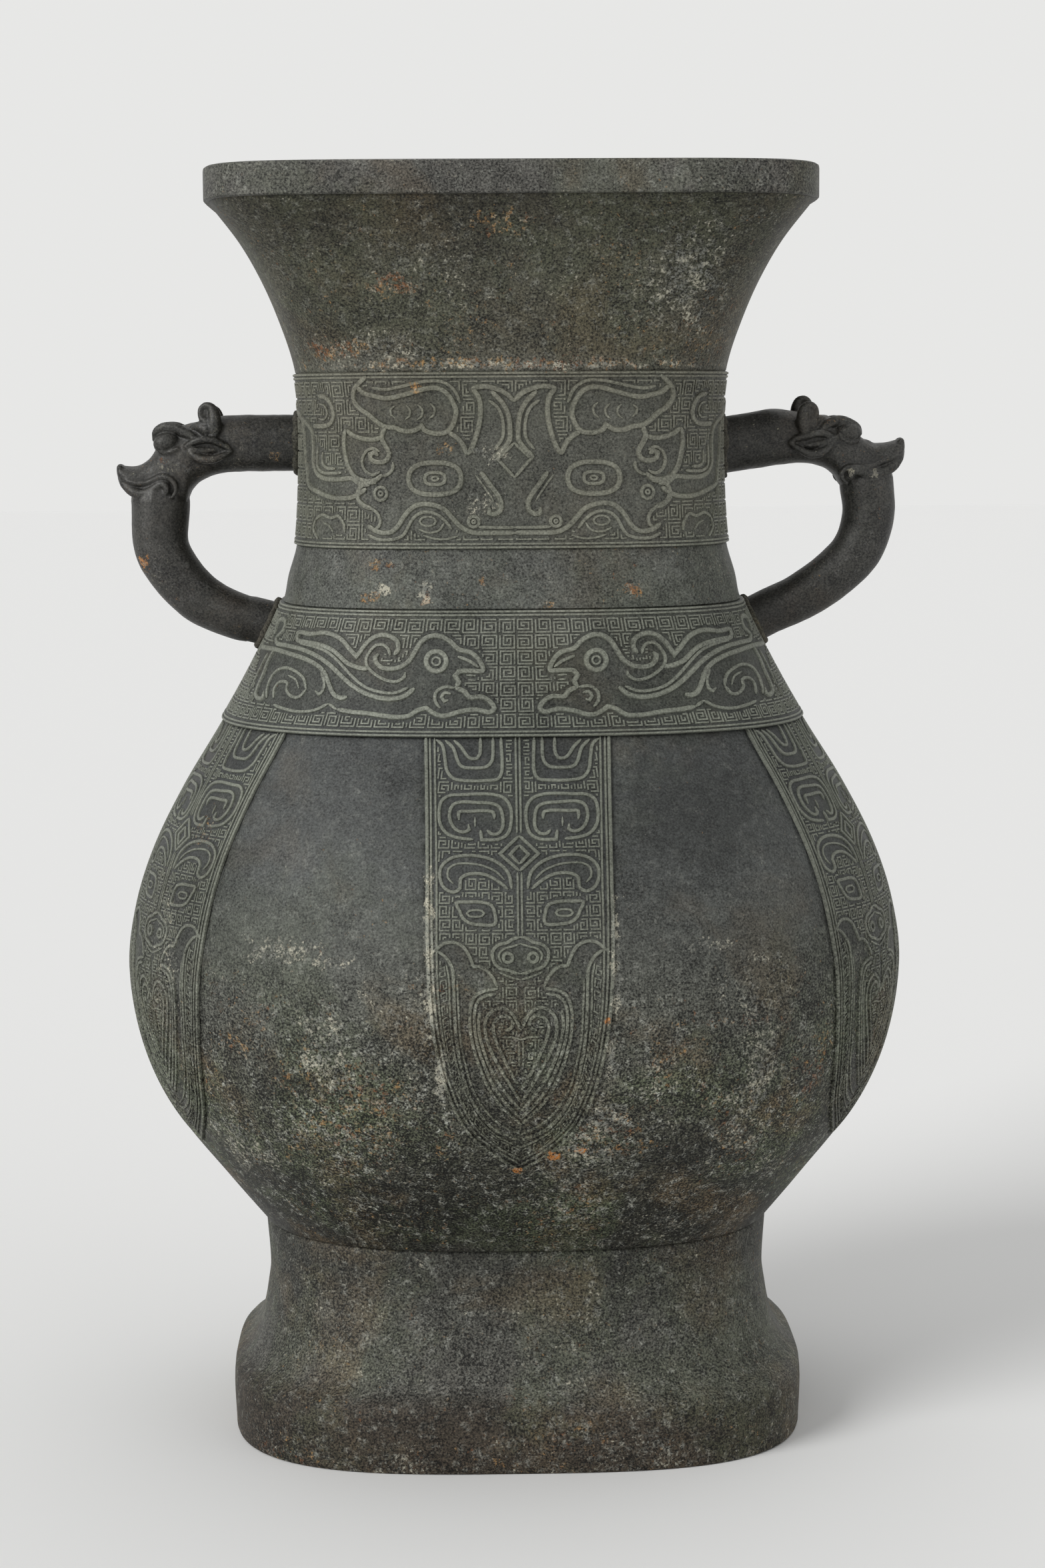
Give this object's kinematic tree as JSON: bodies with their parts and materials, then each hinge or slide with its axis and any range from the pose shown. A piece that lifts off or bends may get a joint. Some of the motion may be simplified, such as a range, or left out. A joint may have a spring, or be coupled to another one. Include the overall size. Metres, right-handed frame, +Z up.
{
  "type": "two-handled bronze vase",
  "caption": "Tall cast bronze vase with a flared square-rounded mouth, swelling belly, spread foot and dragon-head side handles for display and flowers.",
  "frame": {"origin": "middle of the foot's underside, on the surface that the vase stands on", "axes": "+Z up through the mouth, +X along the line through both handles, +Y along the shallow depth, with a broad ornamented face towards -Y and another towards +Y"},
  "size_m": [0.3044, 0.2544, 0.48],
  "materials": {
    "body_bronze": "cast bronze with a dark grey green patina, thread relief with paler ridges, ochre and white deposits",
    "lip_bronze": "plain cast bronze with a grey patina and pale specks",
    "foot_bronze": "plain cast bronze with a brown grey patina and many pale specks",
    "handle_bronze": "cast bronze with a near black satin patina, worn grey on the high places",
    "solder": "rough solder with rust brown deposits",
    "tenon_bronze": "plain bronze, hammered head"
  },
  "bodies": {
    "root": {"foot_casting": "foot_bronze", "base_plate": "foot_bronze", "lower_belly_casting": "body_bronze", "shoulder_casting": "body_bronze", "neck_casting": "body_bronze", "mouth_lip": "lip_bronze", "left_dragon_head": "handle_bronze", "left_handle_loop": "handle_bronze", "left_upper_collar": "solder", "left_lower_collar": "solder", "left_upper_tenon": "tenon_bronze", "left_lower_tenon": "tenon_bronze", "right_dragon_head": "handle_bronze", "right_handle_loop": "handle_bronze", "right_upper_collar": "solder", "right_lower_collar": "solder", "right_upper_tenon": "tenon_bronze", "right_lower_tenon": "tenon_bronze"}
  },
  "joints": []
}
